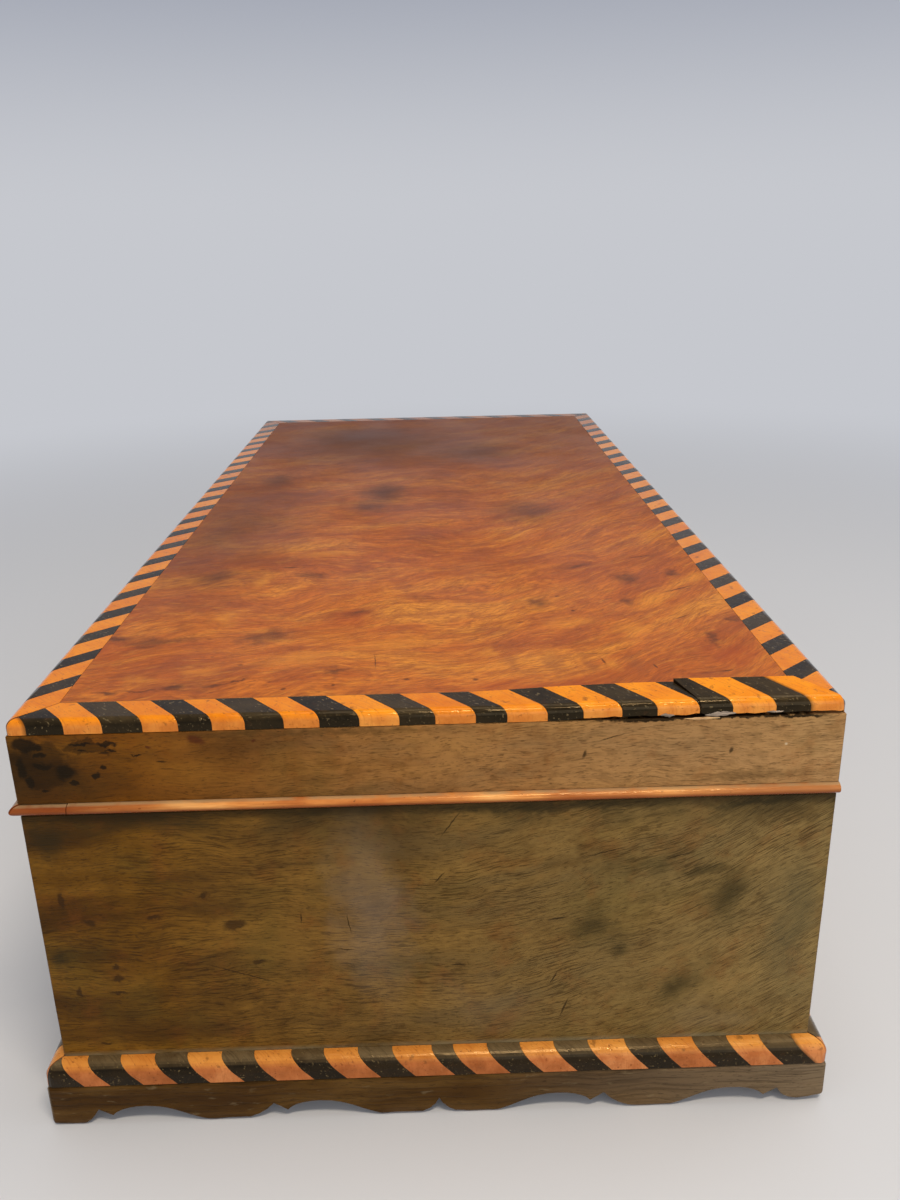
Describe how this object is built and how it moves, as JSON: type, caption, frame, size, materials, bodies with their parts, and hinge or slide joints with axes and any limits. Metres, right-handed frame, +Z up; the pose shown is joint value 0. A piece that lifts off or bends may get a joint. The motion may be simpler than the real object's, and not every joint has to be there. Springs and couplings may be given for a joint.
{
  "type": "wooden box with hinged lid",
  "caption": "Long walnut box on a scalloped plinth, its hinged lid and base edged in diagonal two-colour banding, with a bead over the joint and a lock in front.",
  "frame": {"origin": "on the ground under the middle of the box", "axes": "+X along the box's length, -Y the front with the keyhole, +Y the back with the hinges, +Z up. The picture looks at the +X end."},
  "size_m": [0.3204, 0.1562, 0.0886],
  "materials": {
    "walnut": "old polished walnut, worn and stained",
    "figured_walnut": "old polished figured walnut, reddish",
    "secondary_wood": "unpolished, darkened with age",
    "bead_wood": "polished reddish fruitwood",
    "banding": "polished satinwood and ebonised slices in turn",
    "brass": "aged brass",
    "steel": "dull steel"
  },
  "bodies": {
    "case": {"case_front": "walnut", "case_back": "walnut", "case_left": "walnut", "case_right": "walnut", "case_bottom": "secondary_wood", "apron_front": "walnut", "apron_back": "walnut", "apron_left": "walnut", "apron_right": "walnut", "base_moulding_front": "banding", "base_moulding_back": "banding", "base_moulding_left": "banding", "base_moulding_right": "banding", "glue_block_front_left": "secondary_wood", "glue_block_front_right": "secondary_wood", "glue_block_back_left": "secondary_wood", "glue_block_back_right": "secondary_wood", "lock_case": "brass", "keyhole_liner": "brass", "lock_screw_1": "brass", "lock_screw_2": "brass", "lock_screw_3": "brass", "lock_screw_4": "brass", "left_hinge_case_leaf": "brass", "left_hinge_pin": "steel", "left_hinge_case_screw_1": "brass", "left_hinge_case_screw_2": "brass", "right_hinge_case_leaf": "brass", "right_hinge_pin": "steel", "right_hinge_case_screw_1": "brass", "right_hinge_case_screw_2": "brass"},
    "lock_bolt": {"lock_bolt": "steel"},
    "lid": {"lid_panel": "figured_walnut", "lid_rail_front": "walnut", "lid_rail_back": "walnut", "lid_rail_left": "walnut", "lid_rail_right": "walnut", "lid_moulding_front": "banding", "lid_moulding_back": "banding", "lid_moulding_left": "banding", "lid_moulding_right": "banding", "bead_front": "bead_wood", "bead_left": "bead_wood", "bead_right": "bead_wood", "link_plate": "brass", "link_plate_screw_1": "brass", "link_plate_screw_2": "brass", "left_hinge_lid_leaf": "brass", "left_hinge_lid_screw_1": "brass", "left_hinge_lid_screw_2": "brass", "right_hinge_lid_leaf": "brass", "right_hinge_lid_screw_1": "brass", "right_hinge_lid_screw_2": "brass"}
  },
  "joints": [
    {"name": "lid_hinge", "type": "hinge", "parent": "case", "child": "lid", "pos_m": [0, 0.075, 0.0698], "axis": [-1, 0, 0], "range_deg": [0, 97]},
    {"name": "bolt_slide", "type": "slide", "parent": "case", "child": "lock_bolt", "axis": [-1, 0, 0], "range_m": [0, 0.004]}
  ]
}
